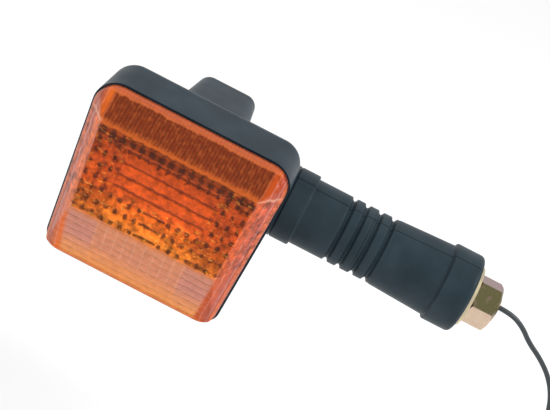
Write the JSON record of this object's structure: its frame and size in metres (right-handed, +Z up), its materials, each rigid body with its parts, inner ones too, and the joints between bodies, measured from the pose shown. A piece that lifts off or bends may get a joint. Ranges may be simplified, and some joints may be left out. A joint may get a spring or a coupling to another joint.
{
  "type": "turn signal indicator",
  "caption": "Amber motorcycle turn signal in a boxy black housing on a ribbed flexible rubber stem, fixed by a hollow threaded stud with its lead through the middle.",
  "frame": {"origin": "centre of the stem's rubber end face, on the stud's axis, where the panel it is mounted on begins", "axes": "+X along the stud, away from the lamp head; the lens faces -Y; +Z up as installed"},
  "size_m": [0.2059, 0.067, 0.1584],
  "materials": {
    "abs_black": "satin, blue-black moulded",
    "lens_amber": "gloss, transparent amber",
    "seal_rubber": "matte",
    "reflector_silver": "metallised",
    "stem_rubber": "satin moulded rubber",
    "zinc_yellow": "yellow zinc plate",
    "zinc_bright": "bright zinc plate",
    "brass": "bare",
    "glass_clear": "clear",
    "tungsten": "drawn wire",
    "phenolic": "laminate",
    "wire_pvc": "satin PVC",
    "spring_steel": "drawn"
  },
  "bodies": {
    "mount": {"stem_base": "stem_rubber", "stud_plate": "zinc_yellow", "stud": "zinc_yellow", "live_lead_base": "wire_pvc", "earth_lead_base": "wire_pvc", "lead": "wire_pvc", "connector_sleeve": "wire_pvc", "bullet_connector": "brass"},
    "flex": {"stem_ribs": "stem_rubber", "live_lead_flex": "wire_pvc", "earth_lead_flex": "wire_pvc"},
    "head": {"housing": "abs_black", "lens": "lens_amber", "lens_gasket": "seal_rubber", "lens_screws": "zinc_bright", "reflector": "reflector_silver", "reflector_screws": "zinc_bright", "socket_barrel": "zinc_bright", "socket_bracket": "zinc_bright", "bracket_screws": "zinc_bright", "socket_insulator": "phenolic", "contact_spring": "spring_steel", "contact_terminal": "brass", "head_insert": "zinc_bright", "retaining_nut": "zinc_bright", "retaining_washer": "zinc_bright", "stem_head_end": "stem_rubber", "live_lead_head": "wire_pvc", "earth_lead_head": "wire_pvc", "live_lead_stem": "wire_pvc", "earth_lead_stem": "wire_pvc"},
    "plunger": {"contact_plunger": "brass"},
    "bulb": {"bulb_glass": "glass_clear", "bulb_cap": "brass", "bulb_pins": "brass", "bulb_contact": "zinc_bright", "bulb_filament": "tungsten"},
    "washer": {"washer": "zinc_yellow"},
    "nut": {"nut": "zinc_yellow"}
  },
  "joints": [
    {"name": "stem_bend_fore_aft", "type": "hinge", "parent": "mount", "child": "flex", "pos_m": [-0.0445, 0, 0], "axis": [0, 0, 1], "range_deg": [-25, 25], "stiffness_Nm_per_rad": 6, "deforming": ["stem_ribs", "live_lead_flex", "earth_lead_flex"]},
    {"name": "stem_bend_up_down", "type": "hinge", "parent": "flex", "child": "head", "pos_m": [-0.0445, 0, 0], "axis": [0, 1, 0], "range_deg": [-25, 25], "stiffness_Nm_per_rad": 6, "deforming": ["stem_ribs", "live_lead_flex", "earth_lead_flex"]},
    {"name": "bulb_push", "type": "slide", "parent": "head", "child": "plunger", "axis": [0, 1, 0], "range_m": [0, 0.0012], "stiffness_N_per_m": 2000, "springref_m": -0.002, "deforming": ["contact_spring"]},
    {"name": "bulb_turn", "type": "hinge", "parent": "plunger", "child": "bulb", "pos_m": [-0.114, 0, 0.003], "axis": [0, -1, 0], "range_deg": [0, 20]},
    {"name": "nut_travel", "type": "slide", "parent": "mount", "child": "washer", "axis": [1, 0, 0], "range_m": [0, 0.00374]},
    {"name": "nut_turn", "type": "hinge", "parent": "washer", "child": "nut", "pos_m": [0.006, 0, 0], "axis": [1, 0, 0], "range_deg": [0, 1080]}
  ],
  "couplings": [
    {"joint": "nut_turn", "follows": "nut_travel", "rad_per_m": 5026.5}
  ]
}
